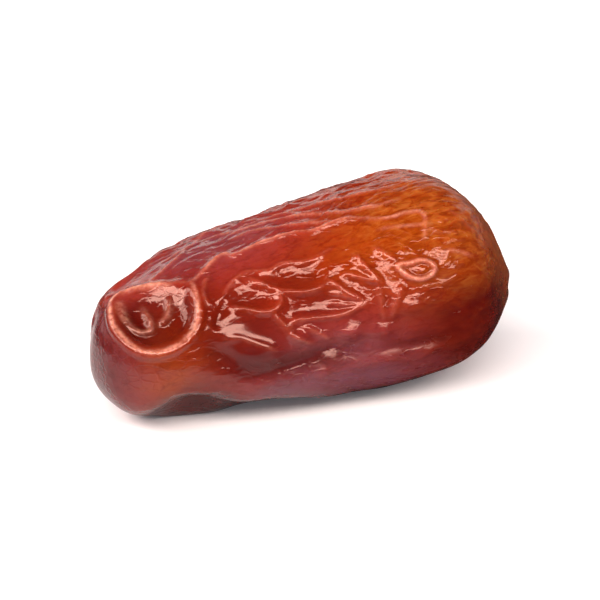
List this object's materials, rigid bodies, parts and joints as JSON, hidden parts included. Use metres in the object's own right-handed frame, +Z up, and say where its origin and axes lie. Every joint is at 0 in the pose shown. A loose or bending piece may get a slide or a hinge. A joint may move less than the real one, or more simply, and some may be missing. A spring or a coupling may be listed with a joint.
{
  "type": "date fruit",
  "caption": "Whole dried date lying on its side, with glossy wrinkled skin, a rimmed dish near the blunt tip and a dimpled stem end.",
  "frame": {"origin": "on the surface that the date rests on, below the middle of its bounding box", "axes": "+X along the fruit from the blossom tip to the stem end, -Y out of the wrinkled front, +Z up"},
  "size_m": [0.0417, 0.0202, 0.0177],
  "materials": {
    "date_skin": "glossy, see-through red-brown skin with amber and mauve zones"
  },
  "bodies": {
    "root": {"date_fruit": "date_skin"}
  },
  "joints": []
}
